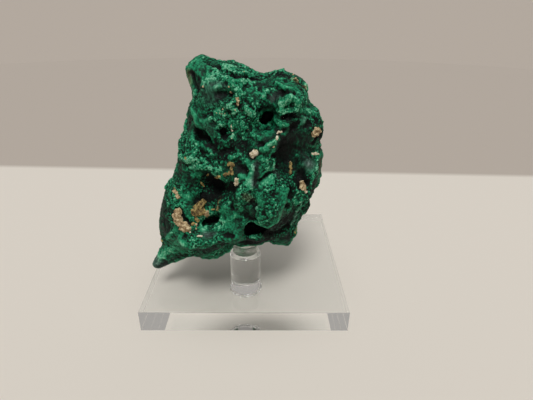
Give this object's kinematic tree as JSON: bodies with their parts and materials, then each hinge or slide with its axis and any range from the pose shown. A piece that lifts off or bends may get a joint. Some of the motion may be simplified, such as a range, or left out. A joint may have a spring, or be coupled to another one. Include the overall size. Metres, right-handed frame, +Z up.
{
  "type": "malachite specimen",
  "caption": "Craggy fibrous malachite with a pointed spur, held upright on a short clear acrylic post and square plate.",
  "frame": {"origin": "centre of the square plate's underside", "axes": "+Z up out of the plate, -Y out of the specimen's display face, +X to the right as seen from the display face"},
  "size_m": [0.09, 0.09, 0.1101],
  "materials": {
    "clear_acrylic": "polished",
    "clear_tack": "satin",
    "malachite": "satin",
    "limonite": "matte",
    "pale_gangue": "matte"
  },
  "bodies": {
    "root": {"base_plate": "clear_acrylic", "post": "clear_acrylic", "mineral_tack": "clear_tack", "malachite": "malachite"}
  },
  "joints": []
}
